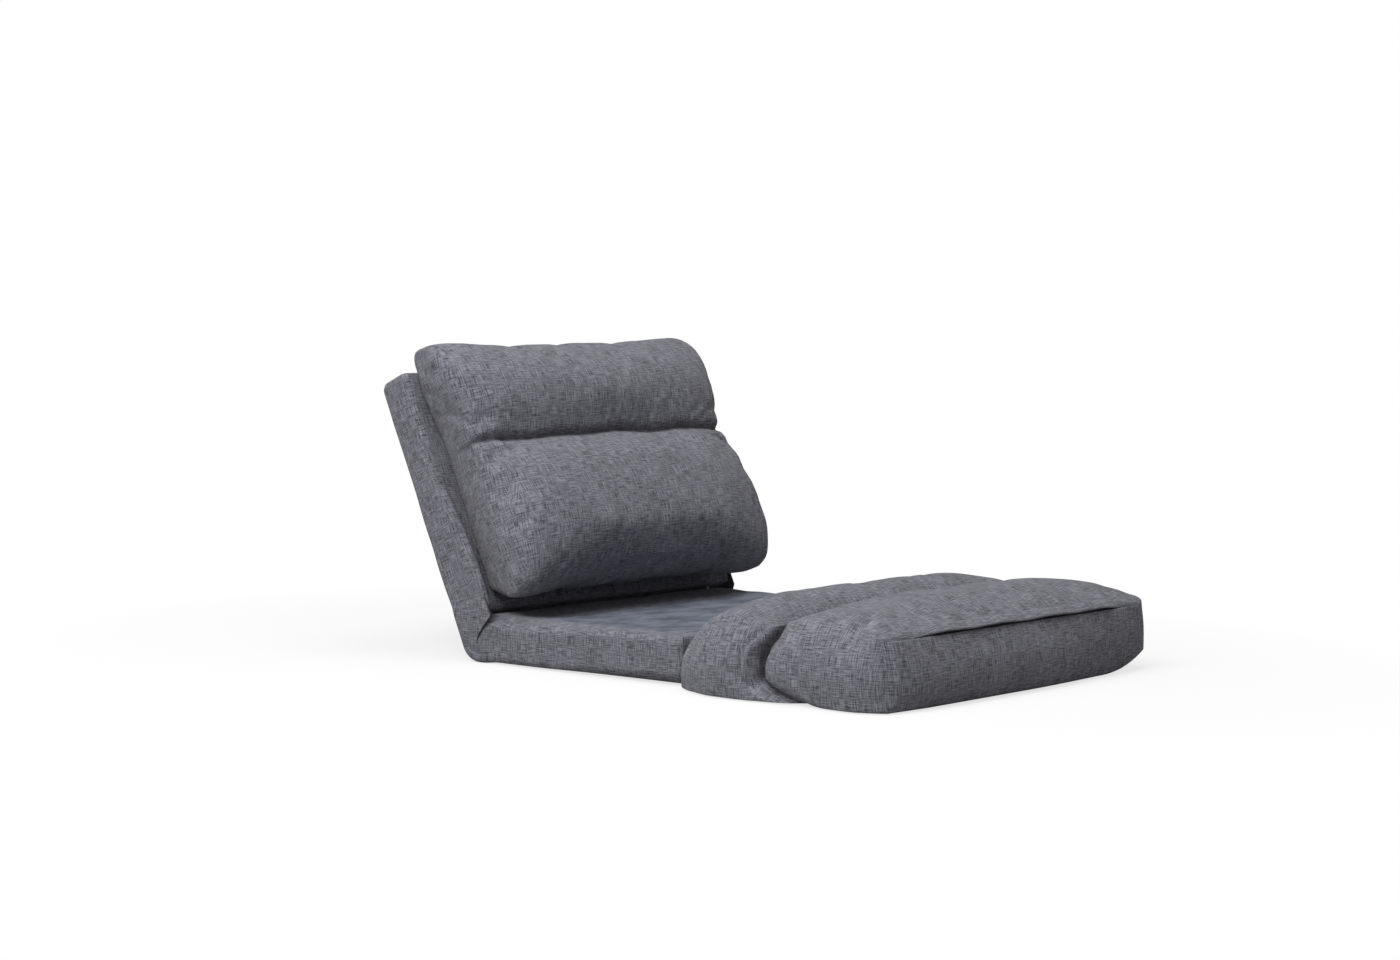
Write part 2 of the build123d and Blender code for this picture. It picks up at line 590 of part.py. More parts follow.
def zip_parts():
    """Zip on the front panel: tape, coil and a slider with its pull."""
    face = FOLD_Y - LEG_LENGTH - ZIP_SEAT
    tape_face = face - ZIP_TAPE
    coil_face = tape_face - ZIP_COIL
    tape_half = ZIP_TAPE_WIDTH / 2
    half = ZIP_LENGTH / 2
    coil_half = ZIP_COIL_WIDTH / 2
    room = coil_half + SLIDER_PLAY
    slider_x = half - 2 * SLIDER_LENGTH
    slider_ends = (slider_x - SLIDER_LENGTH / 2, slider_x + SLIDER_LENGTH / 2)
    slider_face = tape_face - SLIDER_PLAY - SLIDER_DEPTH
    slider = block(
        slider_ends,
        (slider_face, tape_face - SLIDER_PLAY),
        (ZIP_Z - SLIDER_WIDTH / 2, ZIP_Z + SLIDER_WIDTH / 2),
    )
    slider -= block(slider_ends, (coil_face - SLIDER_PLAY, tape_face), (ZIP_Z - room, ZIP_Z + room))
    pull = block(
        (slider_x - PULL_WIDTH / 2, slider_x + PULL_WIDTH / 2),
        (slider_face - PULL_THICKNESS, slider_face),
        (ZIP_Z - PULL_LENGTH, ZIP_Z),
    )
    return {
        "zip_tape": block((-half, half), (tape_face, face), (ZIP_Z - tape_half, ZIP_Z + tape_half)),
        "zip_coil": block((-half, half), (coil_face, tape_face), (ZIP_Z - coil_half, ZIP_Z + coil_half)),
        "zip_slider": slider + pull,
    }


def leg_parts():
    """Leg cushion: a stuffed lobe either side of its channel, front panel, base cloth and fold strip."""
    rear_lobe, front_lobe = leg_lobes()
    front = FOLD_Y - LEG_LENGTH
    half = LEG_WIDTH / 2
    seam = PAD_WIDTH / 2 - PAD_EDGE_ROUND - FOLD_MARGIN
    return {
        "leg_lobe_rear": rear_lobe,
        "leg_lobe_front": front_lobe,
        "leg_front_panel": block(
            (PANEL_MARGIN - half, half - PANEL_MARGIN),
            (front, front + CLOTH),
            (PANEL_FOOT, LEG_FRONT_HEIGHT),
        ),
        "leg_base_cloth": block(
            (LEG_BASE_MARGIN - half, half - LEG_BASE_MARGIN),
            (front + BASE_MARGIN, FOLD_Y - BASE_MARGIN),
            (0, CLOTH),
        ),
        "fold_strip": block(
            (-seam, seam),
            (FOLD_Y - FOLD_CLOTH / 2, FOLD_Y + FOLD_CLOTH / 2),
            (FOLD_MARGIN, SEAT_HEIGHT - FOLD_MARGIN),
        ),
    }


def main():
    parts = {**seat_parts(), **back_parts(), **pillow_parts(), **leg_parts(), **zip_parts()}
    for side in SIDES:
        parts.update(hinge_parts(side))
    os.makedirs("parts", exist_ok=True)
    for name, part in parts.items():
        export_step(part, f"parts/{name}.step")


main()
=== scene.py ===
import json
import math

import bpy
import numpy as np
from mathutils import Matrix, Vector


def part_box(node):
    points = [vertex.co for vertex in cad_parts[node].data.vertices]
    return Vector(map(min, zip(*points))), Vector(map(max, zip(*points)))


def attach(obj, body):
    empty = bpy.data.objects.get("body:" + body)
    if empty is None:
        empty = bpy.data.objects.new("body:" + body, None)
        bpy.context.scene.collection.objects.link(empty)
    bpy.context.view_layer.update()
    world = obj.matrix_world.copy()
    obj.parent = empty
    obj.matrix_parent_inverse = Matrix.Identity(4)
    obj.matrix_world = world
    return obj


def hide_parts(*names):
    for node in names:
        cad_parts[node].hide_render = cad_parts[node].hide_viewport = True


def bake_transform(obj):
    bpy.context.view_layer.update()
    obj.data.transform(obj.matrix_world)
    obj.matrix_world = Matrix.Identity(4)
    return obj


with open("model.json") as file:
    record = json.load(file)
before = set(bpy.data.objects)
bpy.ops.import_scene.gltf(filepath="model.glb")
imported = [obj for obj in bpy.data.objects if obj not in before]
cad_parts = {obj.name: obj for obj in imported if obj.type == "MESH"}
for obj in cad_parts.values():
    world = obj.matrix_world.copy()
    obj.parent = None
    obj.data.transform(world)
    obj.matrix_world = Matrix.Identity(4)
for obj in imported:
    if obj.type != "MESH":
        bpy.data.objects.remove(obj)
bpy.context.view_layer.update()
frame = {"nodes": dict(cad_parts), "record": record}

# Lengths are in metres.  The chair faces -Y, and its right side is on -X.

# Recline axis, fold line and the backrest's lean at rest
AXIS_Y = 0.248
AXIS_Z = 0.0425
FOLD_Y = -0.248
LEAN = math.radians(24)

# Boxed pads of the seat and the backrest
PAD_HALF = 0.35
SIDE_BAND = 0.006
SEAT_HEIGHT = 0.085
SEAT_FRONT = FOLD_Y + 0.0015
SEAT_DISH = 0.007
SEAT_END = 0.0416
BACK_LENGTH = 0.51
BACK_FRONT = 0.025
BACK_REAR = 0.0415
BACK_SWELL = 0.003
BACK_LOW = 0.0455
BACK_LIP = 0.024
HOLLOW = 0.0442
BACK_FLARE = 0.026
CHEEK_X = 0.3506

# Leg section
LEG_CREASE_Y = FOLD_Y - 0.205
LEG_REAR_Y = FOLD_Y - 0.0018
LEG_FRONT_Y = FOLD_Y - 0.457
LEG_REAR_Z = 0.086
LEG_SEAM_Z = 0.121
REAR_CROWN = 0.161
FRONT_CROWN = 0.163
CHANNEL_Z = 0.072
CHANNEL_RISE = 0.044
LEG_HALF = 0.39
LEG_BLOCK = 0.16
PANEL_HALF = 0.366
PANEL_LOW = 0.012
PANEL_HIGH = 0.1175
ZIP_HALF = 0.30

# Pillow: its channel, and the ridge at each lower corner
PILLOW_CHANNEL = 0.330
RIDGE_LOW = (0.325, 0.096, 0.04)
RIDGE_WAY = np.array((-0.05, 0.085, 0.107))

# Cloth simulation
SIM_FRAMES = 20
PRESSURE = 4.0

# Camera, fitted to the photograph; its focal length and centre are in pixels
PHOTO_WIDTH = 1400
PHOTO_HEIGHT = 960
FOCAL_LENGTH = 2998.55
CENTRE_X = 682.17
CENTRE_Y = 572.43
SENSOR = 36
CAMERA_PLACE = (-4.1419, -3.6072, 0.7008)
CAMERA_TARGET = (0, 0.06, 0.15)
LIGHT_TARGET = (0, -0.1, 0.1)

BACK_PLACE = Matrix.Translation((0, AXIS_Y, AXIS_Z)) @ Matrix.Rotation(-LEAN, 4, "X")


# Modelling helpers

def pick(piece):
    """Select one piece and nothing else."""
    bpy.ops.object.select_all(action="DESELECT")
    piece.select_set(True)
    bpy.context.view_layer.objects.active = piece


def named(name):
    """The piece that an operator has just added, with its place put into its mesh."""
    piece = bpy.context.object
    piece.name = name
    bpy.ops.object.transform_apply(location=True, rotation=True, scale=True)
    return piece


def new_block(name, low, high):
    """Cube primitive between two corners."""
    bpy.ops.object.select_all(action="DESELECT")
    middle = (Vector(low) + Vector(high)) / 2
    bpy.ops.mesh.primitive_cube_add(size=1, location=middle, scale=Vector(high) - Vector(low))
    return named(name)


def new_sheet(name, width, length, across, along):
    """Grid primitive in the XY plane about the origin."""
    bpy.ops.object.select_all(action="DESELECT")
    bpy.ops.mesh.primitive_grid_add(x_subdivisions=across, y_subdivisions=along, size=1)
    bpy.ops.transform.resize(value=(width, length, 1))
    return named(name)


def new_rod(name, radius, length, middle, sides=64):
    """Cylinder primitive along X."""
    bpy.ops.object.select_all(action="DESELECT")
    bpy.ops.mesh.primitive_cylinder_add(
        radius=radius, depth=length, vertices=sides, location=middle, rotation=(0, math.pi / 2, 0)
    )
    return named(name)


def modify(piece, kind, **settings):
    """Add one modifier and apply it."""
    pick(piece)
    bpy.ops.object.modifier_add(type=kind)
    modifier = piece.modifiers[-1]
    for key, value in settings.items():
        setattr(modifier, key, value)
    bpy.ops.object.modifier_apply(modifier=modifier.name)


def cut(piece, tool):
    """Take a tool's volume out of a piece."""
    modify(piece, "BOOLEAN", operation="DIFFERENCE", object=tool, solver="EXACT")
    bpy.data.objects.remove(tool)


def bevel_edges(piece, chosen, width, segments):
    """Bevel the edges whose two ends both pass a test."""
    pick(piece)
    bpy.ops.object.mode_set(mode="EDIT")
    bpy.ops.mesh.select_mode(type="EDGE")
    bpy.ops.mesh.select_all(action="DESELECT")
    bpy.ops.object.mode_set(mode="OBJECT")
    corners = piece.data.vertices
    for edge in piece.data.edges:
        a, b = (corners[index].co for index in edge.vertices)
        edge.select = chosen(a, b)
    bpy.ops.object.mode_set(mode="EDIT")
    bpy.ops.mesh.bevel(offset=width, segments=segments, profile=0.5)
    bpy.ops.object.mode_set(mode="OBJECT")


def crosswise(a, b):
    """Whether an edge runs from side to side of a boxed pad."""
    return abs(a.x - b.x) > PAD_HALF


def on_side(a, b):
    """Whether an edge lies in a side face of a boxed pad."""
    return abs(a.x - b.x) < 1e-6 and abs(abs(a.x) - PAD_HALF) < 1e-6


def edit_all(piece, operator, **settings):
    """Run one edit-mode operator on a whole mesh."""
    pick(piece)
    bpy.ops.object.mode_set(mode="EDIT")
    bpy.ops.mesh.select_all(action="SELECT")
    operator(**settings)
    bpy.ops.object.mode_set(mode="OBJECT")


def copy_solids(name, *nodes):
    """One closed mesh from copies of CAD solids."""
    bpy.ops.object.select_all(action="DESELECT")
    for node in nodes:
        copy = frame["nodes"][node].copy()
        copy.data = copy.data.copy()
        copy.parent = None
        for key in list(copy.keys()):
            del copy[key]
        bpy.context.scene.collection.objects.link(copy)
        copy.select_set(True)
        bpy.context.view_layer.objects.active = copy
    bpy.ops.object.join()
    piece = named(name)
    piece.data.materials.clear()
    edit_all(piece, bpy.ops.mesh.remove_doubles, threshold=1e-5)
    face_out(piece)
    return piece


def points(piece):
    """Places of a mesh's points, one row each."""
    found = np.empty(len(piece.data.vertices) * 3)
    piece.data.vertices.foreach_get("co", found)
    return found.reshape(-1, 3)


def put(piece, places):
    """Move a mesh's points to new places."""
    piece.data.vertices.foreach_set("co", np.ascontiguousarray(places, float).ravel())
    piece.data.update()


def outward(piece):
    """Normals of a mesh's points."""
    found = np.empty(len(piece.data.vertices) * 3, np.float32)
    piece.data.vertex_normals.foreach_get("vector", found)
    return found.reshape(-1, 3).astype(float)


def upright(places):
    """Places in the backrest's own frame: across, behind its frame plane, and up along it."""
    turn = np.array(BACK_PLACE.inverted())
    return places @ turn[:3, :3].T + turn[:3, 3]


def leaned(places):
    """Places in the chair's frame, from the backrest's own frame."""
    turn = np.array(BACK_PLACE)
    return places @ turn[:3, :3].T + turn[:3, 3]


def ease(value, start, end):
    """Smooth step from 0 at start to 1 at end."""
    share = np.clip((value - start) / (end - start), 0, 1)
    return share * share * (3 - 2 * share)


def ripple(value, lengths):
    """Uneven waves: sines of several wavelengths, each with its own start."""
    waves = [np.sin(2 * math.pi * value / length + 1.7 * k * k) for k, length in enumerate(lengths, 1)]
    return sum(waves) / len(lengths)


def soften(piece, voxel, rounds):
    """Even mesh with its hard edges worn round."""
    modify(piece, "REMESH", mode="VOXEL", voxel_size=voxel)
    modify(piece, "SMOOTH", factor=0.5, iterations=rounds)


def fill_out(piece, held, travel):
    """Let pressure swell the cloth, holding its seams, and cap how far each point moves."""
    before = points(piece)
    group = piece.vertex_groups.new(name="seams")
    for index in np.nonzero(held > 0.02)[0]:
        group.add([int(index)], float(held[index]), "REPLACE")
    pick(piece)
    bpy.ops.object.modifier_add(type="CLOTH")
    cloth = piece.modifiers[-1]
    cloth.settings.quality = 5
    cloth.settings.mass = 0.25
    cloth.settings.tension_stiffness = 14
    cloth.settings.compression_stiffness = 14
    cloth.settings.shear_stiffness = 5
    cloth.settings.bending_stiffness = 0.4
    cloth.settings.use_pressure = True
    cloth.settings.uniform_pressure_force = PRESSURE
    cloth.settings.shrink_min = -0.02
    cloth.settings.vertex_group_mass = group.name
    cloth.settings.effector_weights.gravity = 0
    cloth.point_cache.frame_start = 1
    cloth.point_cache.frame_end = SIM_FRAMES
    for number in range(1, SIM_FRAMES + 1):
        bpy.context.scene.frame_set(number)
    bpy.ops.object.modifier_apply(modifier=cloth.name)
    bpy.context.scene.frame_set(1)
    piece.vertex_groups.clear()
    moved = points(piece) - before
    length = np.linalg.norm(moved, axis=1)
    put(piece, before + moved * np.minimum(1, travel / np.maximum(length, 1e-9))[:, None])
    modify(piece, "SMOOTH", factor=0.5, iterations=2)


def divide(piece):
    """Subdivide once."""
    modify(piece, "SUBSURF", levels=1, render_levels=1)


def face_out(piece):
    """Turn every face of a piece the same way, outwards on a closed one."""
    edit_all(piece, bpy.ops.mesh.normals_make_consistent, inside=False)


def smooth_shading(piece):
    pick(piece)
    bpy.ops.object.shade_smooth()


def lay_weave(piece, leaning=False):
    """UV map in metres, laid on each face along the nearest of the three main planes."""
    mesh = piece.data
    count = len(mesh.polygons)
    normals = np.empty(count * 3, np.float32)
    mesh.polygons.foreach_get("normal", normals)
    normals = normals.reshape(-1, 3)
    places = points(piece)
    if leaning:
        normals = normals @ np.array(BACK_PLACE)[:3, :3]
        places = upright(places)
    starts = np.empty(count, np.int32)
    totals = np.empty(count, np.int32)
    mesh.polygons.foreach_get("loop_start", starts)
    mesh.polygons.foreach_get("loop_total", totals)
    corner = np.empty(len(mesh.loops), np.int32)
    mesh.loops.foreach_get("vertex_index", corner)
    facing = np.repeat(np.argmax(np.abs(normals), axis=1), totals)
    at = places[corner]
    u = np.where(facing == 0, at[:, 1], at[:, 0])
    v = np.where(facing == 2, at[:, 1], at[:, 2])
    layer = mesh.uv_layers.new(name="weave")
    layer.data.foreach_set("uv", np.stack([u, v], 1).astype(np.float32).ravel())


def mark(piece, name, values):
    """Keep one number at each point, for a material to read."""
    layer = piece.data.attributes.new(name, "FLOAT", "POINT")
    layer.data.foreach_set("value", values.astype(np.float32))


def dress(piece, material, body=None, leaning=False):
    """Smooth shading, weave map, material, slot and body."""
    smooth_shading(piece)
    lay_weave(piece, leaning)
    piece.data.materials.clear()
    piece.data.materials.append(material)
    if body:
        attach(piece, body)


# Materials

class Wire:
    """A node's output, which takes part in sums."""

    def __init__(self, finish, socket):
        self.finish = finish
        self.socket = socket

    def sum(self, operation, a, b):
        return self.finish.node("ShaderNodeMath", {"operation": operation}, {0: a, 1: b})

    def __add__(self, other):
        return self.sum("ADD", self, other)

    def __radd__(self, other):
        return self.sum("ADD", other, self)

    def __sub__(self, other):
        return self.sum("SUBTRACT", self, other)

    def __mul__(self, other):
        return self.sum("MULTIPLY", self, other)


class Finish:
    """A material built node by node."""

    def __init__(self, name):
        self.material = bpy.data.materials.new(name)
        self.material.use_nodes = True
        self.tree = self.material.node_tree
        self.shader = self.tree.nodes["Principled BSDF"]

    def fill(self, node, sockets):
        for key, value in sockets.items():
            if isinstance(value, Wire):
                self.tree.links.new(value.socket, node.inputs[key])
            else:
                node.inputs[key].default_value = value

    def node(self, kind, settings, sockets, output=0):
        node = self.tree.nodes.new(kind)
        for key, value in settings.items():
            setattr(node, key, value)
        self.fill(node, sockets)
        return Wire(self, node.outputs[output])

    def shade(self, **sockets):
        self.fill(self.shader, {key.replace("_", " "): value for key, value in sockets.items()})
        return self.material

    def place(self, scale):
        """Object coordinates, stretched."""
        at = self.node("ShaderNodeTexCoord", {}, {}, "Object")
        return self.node("ShaderNodeMapping", {}, {"Vector": at, "Scale": scale})

    def cloth_place(self, scale, start=0.0):
        """The piece's weave map, stretched."""
        at = self.node("ShaderNodeUVMap", {"uv_map": "weave"}, {})
        stretched = {"Vector": at, "Scale": scale, "Location": (start, start, 0)}
        return self.node("ShaderNodeMapping", {}, stretched)

    def noise(self, at, detail=2.0, roughness=0.5):
        sockets = {"Vector": at, "Scale": 1.0, "Detail": detail, "Roughness": roughness}
        return self.node("ShaderNodeTexNoise", {}, sockets)

    def spread(self, value, low, high):
        """Stretch a range of values to 0 to 1."""
        return self.node("ShaderNodeMapRange", {}, {"Value": value, "From Min": low, "From Max": high})

    def between(self, share, a, b):
        """Mix two colours."""
        return self.node("ShaderNodeMix", {"data_type": "RGBA"}, {"Factor": share, 6: a, 7: b}, 2)

    def threads(self, pitch):
        """Height of a plain weave: over and under threads."""
        turns = 2 * math.pi / pitch
        at = self.cloth_place((turns, turns, 1))
        ways = [self.node("ShaderNodeSeparateXYZ", {}, {0: at}, axis) for axis in "XY"]
        over, under = [self.node("ShaderNodeMath", {"operation": "SINE"}, {0: way}) for way in ways]
        return over * under

    def bump(self, height, distance, strength=1.0):
        return self.node("ShaderNodeBump", {}, {"Height": height, "Distance": distance, "Strength": strength})


def heather_cloth(name, dark, light):
    """Linen-look upholstery weave with light and dark flecks along both threads."""
    finish = Finish(name)
    warp = finish.noise(finish.cloth_place((620, 42, 1)), detail=2.0, roughness=0.6)
    weft = finish.noise(finish.cloth_place((42, 620, 1), start=7.0), detail=2.0, roughness=0.6)
    patch = finish.noise(finish.cloth_place((14, 14, 1), start=3.0), detail=3.0)
    fleck = finish.spread(warp * 0.5 + weft * 0.5 + (patch - 0.5) * 0.08, low=0.39, high=0.61)
    colour = finish.between(fleck, dark, light)
    # Points carrying this mark are mixed towards near black: dark stitch lines, and painted shade in the
    # creases, the channels and the hinge slit.
    seam_and_shade = finish.node("ShaderNodeAttribute", {"attribute_name": "seam_and_shade"}, {}, "Fac")
    colour = finish.between(seam_and_shade, colour, (0.012, 0.012, 0.014, 1))
    height = finish.threads(pitch=0.0026) * 0.5 + fleck
    return finish.shade(
        Base_Color=colour,
        Roughness=0.82 + fleck * 0.14,
        Normal=finish.bump(height, distance=0.0006, strength=0.7),
        Sheen_Weight=0.12,
        Sheen_Roughness=0.6,
        Specular_IOR_Level=0.2,
    )


def lining_cloth():
    """Smooth, slightly shiny bluish cloth with fine crosswise threads."""
    finish = Finish("lining_cloth")
    thread = finish.noise(finish.cloth_place((40, 420, 1)), detail=3.0, roughness=0.6)
    patch = finish.noise(finish.cloth_place((13, 24, 1), start=4.0), detail=4.0)
    shade = finish.spread(thread * 0.55 + patch * 0.45, low=0.40, high=0.60)
    colour = finish.between(shade, (0.075, 0.086, 0.113, 1), (0.200, 0.220, 0.268, 1))
    crinkle = finish.noise(finish.cloth_place((16, 60, 1), start=9.0), detail=4.0)
    return finish.shade(
        Base_Color=colour,
        Roughness=0.5 + patch * 0.2,
        Normal=finish.bump(crinkle + finish.threads(pitch=0.0016) * 0.03, distance=0.004, strength=0.6),
        Specular_IOR_Level=0.35,
    )


def base_cloth():
    """Black spun cloth with embossed dots."""
    finish = Finish("base_cloth")
    dots = finish.spread(finish.threads(pitch=0.006), low=0.25, high=0.7)
    fibre = finish.noise(finish.cloth_place((240, 240, 1)), detail=5.0, roughness=0.7)
    colour = finish.between(fibre, (0.008, 0.008, 0.009, 1), (0.028, 0.028, 0.03, 1))
    return finish.shade(
        Base_Color=colour,
        Roughness=0.75 + fibre * 0.2,
        Normal=finish.bump(fibre * 0.4 - dots, distance=0.0006),
        Specular_IOR_Level=0.25,
    )


def hook_cloth():
    """Black strip with a fuzzy pile."""
    finish = Finish("hook_loop")
    pile = finish.noise(finish.cloth_place((900, 900, 1)), detail=4.0, roughness=0.7)
    colour = finish.between(pile, (0.006, 0.006, 0.006, 1), (0.04, 0.04, 0.042, 1))
    return finish.shade(
        Base_Color=colour, Roughness=0.9 + pile * 0.1,
        Normal=finish.bump(pile, distance=0.001), Sheen_Weight=0.25,
    )


def zip_cloth():
    """Black herringbone tape."""
    finish = Finish("zip_tape")
    weave = finish.noise(finish.place((900, 300, 1500)), detail=2.0)
    colour = finish.between(weave, (0.005, 0.005, 0.006, 1), (0.022, 0.022, 0.024, 1))
    return finish.shade(
        Base_Color=colour, Roughness=0.8 + weave * 0.15, Normal=finish.bump(weave, distance=0.0004)
    )


def zip_plastic():
    """Black moulded plastic with a faint grain."""
    finish = Finish("zip_plastic")
    grain = finish.noise(finish.place((1500, 1500, 1500)), detail=2.0)
    colour = finish.between(grain, (0.006, 0.006, 0.007, 1), (0.016, 0.016, 0.018, 1))
    return finish.shade(
        Base_Color=colour, Roughness=0.35 + grain * 0.2, Normal=finish.bump(grain, distance=0.0001)
    )


def frame_paint():
    """Black powder coat with an orange-peel surface."""
    finish = Finish("frame_paint")
    peel = finish.noise(finish.place((420, 420, 420)), detail=2.0)
    worn = finish.spread(finish.noise(finish.place((30, 30, 30)), detail=4.0), low=0.62, high=0.75)
    colour = finish.between(worn, (0.012, 0.012, 0.013, 1), (0.05, 0.05, 0.052, 1))
    return finish.shade(
        Base_Color=colour, Roughness=0.35 + peel * 0.2, Normal=finish.bump(peel, distance=0.0002)
    )


def steel(name, dark, light):
    """Pressed steel with fine drawn lines and darker stains."""
    finish = Finish(name)
    lines = finish.noise(finish.place((900, 40, 900)), detail=3.0)
    stain = finish.noise(finish.place((60, 60, 60)), detail=4.0)
    colour = finish.between(lines * 0.6 + stain * 0.4, dark, light)
    return finish.shade(
        Base_Color=colour, Metallic=1.0, Roughness=0.28 + stain * 0.25,
        Normal=finish.bump(lines, distance=0.0001),
    )


# Pieces

def seat_pad(cloth):
    """Boxed foam seat with a round rear end and a shallow dish in its top."""
    edge_wave, side_wave, tuck, rim_drop, sole_lift = 0.0012, 0.0016, 0.0025, 0.010, 0.009
    pad = new_block("seat_pad", (-PAD_HALF, SEAT_FRONT, 0.001), (PAD_HALF, AXIS_Y + SEAT_END, SEAT_HEIGHT))
    bevel_edges(pad, lambda a, b: min(a.y, b.y) > AXIS_Y and crosswise(a, b), SEAT_END * 0.999, segments=12)
    bevel_edges(pad, on_side, width=0.009, segments=3)
    soften(pad, voxel=0.007, rounds=3)
    divide(pad)
    at = points(pad)
    top = ease(at[:, 2], 0.07, 0.08)
    inside = ease(PAD_HALF - np.abs(at[:, 0]), 0.02, 0.13) * ease(at[:, 1] - SEAT_FRONT, 0.0, 0.12)
    inside *= 1 - ease(at[:, 1], AXIS_Y - 0.1, AXIS_Y - 0.02)
    sag = top * inside * SEAT_DISH
    edge = top * (1 - inside) * edge_wave * ripple(at[:, 1] + 0.3 * at[:, 0], (0.11, 0.071, 0.17))
    at[:, 2] += edge - sag
    side = ease(np.abs(at[:, 0]), PAD_HALF - SIDE_BAND, PAD_HALF) * np.sign(at[:, 0])
    reach = np.hypot(at[:, 1] - AXIS_Y, at[:, 2] - AXIS_Z)
    covered = 1 - ease(reach, 0.05, 0.08)
    at[:, 0] += side * side_wave * (1 - covered) * ripple(at[:, 1] + at[:, 2], (0.13, 0.083, 0.21))
    at[:, 0] -= side * tuck * covered
    rim = ease(np.abs(at[:, 0]), PAD_HALF - 0.045, PAD_HALF)
    at[:, 2] -= rim_drop * rim * ease(at[:, 2], 0.045, 0.08) * ease(at[:, 1], -0.12, 0.15)
    sole = ease(np.abs(at[:, 0]), PAD_HALF - 0.03, PAD_HALF) * (1 - ease(at[:, 2], 0.0, 0.05))
    at[:, 2] += sole_lift * sole * ease(-at[:, 1], -0.12, 0.2)
    at[:, 2] = np.clip(at[:, 2], 0.0012, SEAT_HEIGHT + 0.001)
    at[:, 1] = np.maximum(at[:, 1], SEAT_FRONT)
    behind = at[:, 1] > AXIS_Y
    pull = np.where(behind, np.minimum(1, SEAT_END / np.maximum(reach, 1e-6)), 1)
    at[:, 1] = AXIS_Y + (at[:, 1] - AXIS_Y) * pull
    at[:, 2] = AXIS_Z + (at[:, 2] - AXIS_Z) * pull
    put(pad, at)
    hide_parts("seat_cover", "seat_foam_upper", "seat_foam_lower")
    dress(pad, cloth, "seat")
    return pad


def seat_lining_panel(pad, cloth):
    """Smooth lining panel, sewn down on the seat's dish."""
    gap, puff, wave = 0.0006, 0.0018, 0.0012
    low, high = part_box("seat_lining")
    panel = new_sheet("seat_lining_panel", high.x - low.x, high.y - low.y, 100, 60)
    at = points(panel)
    at[:, 1] += (low.y + high.y) / 2
    at[:, 2] = SEAT_HEIGHT + 0.03
    put(panel, at)
    modify(
        panel, "SHRINKWRAP", target=pad, wrap_method="PROJECT", use_project_z=True,
        use_negative_direction=True, use_positive_direction=False, offset=0.0,
    )
    at = points(panel)
    inset = np.minimum(high.x - np.abs(at[:, 0]), np.minimum(at[:, 1] - low.y, high.y - at[:, 1]))
    at[:, 2] += gap + puff * ease(inset, 0.0, 0.02)
    waves = ripple(at[:, 1] * 1.2 + 0.5 * at[:, 0], (0.12, 0.19, 0.083))
    at[:, 2] += wave * ease(inset, 0.01, 0.08) * waves
    put(panel, at)
    modify(panel, "SOLIDIFY", thickness=0.0012, offset=-1.0)
    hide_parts("seat_lining")
    dress(panel, cloth, "seat")


def base_sheet(name, node, cloth, body):
    """Spun cloth sewn under a cushion, with a turned hem."""
    gap, hem = 0.0004, 0.0005
    low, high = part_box(node)
    sheet = new_sheet(name, high.x - low.x, high.y - low.y, 40, 30)
    at = points(sheet)
    inset = np.minimum(high.x - np.abs(at[:, 0]), (high.y - low.y) / 2 - np.abs(at[:, 1]))
    at[:, 2] = low.z + gap + hem * (1 - ease(inset, 0.01, 0.03))
    at[:, 1] += (low.y + high.y) / 2
    put(sheet, at)
    modify(sheet, "SOLIDIFY", thickness=0.0006, offset=1.0)
    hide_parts(node)
    dress(sheet, cloth, body)


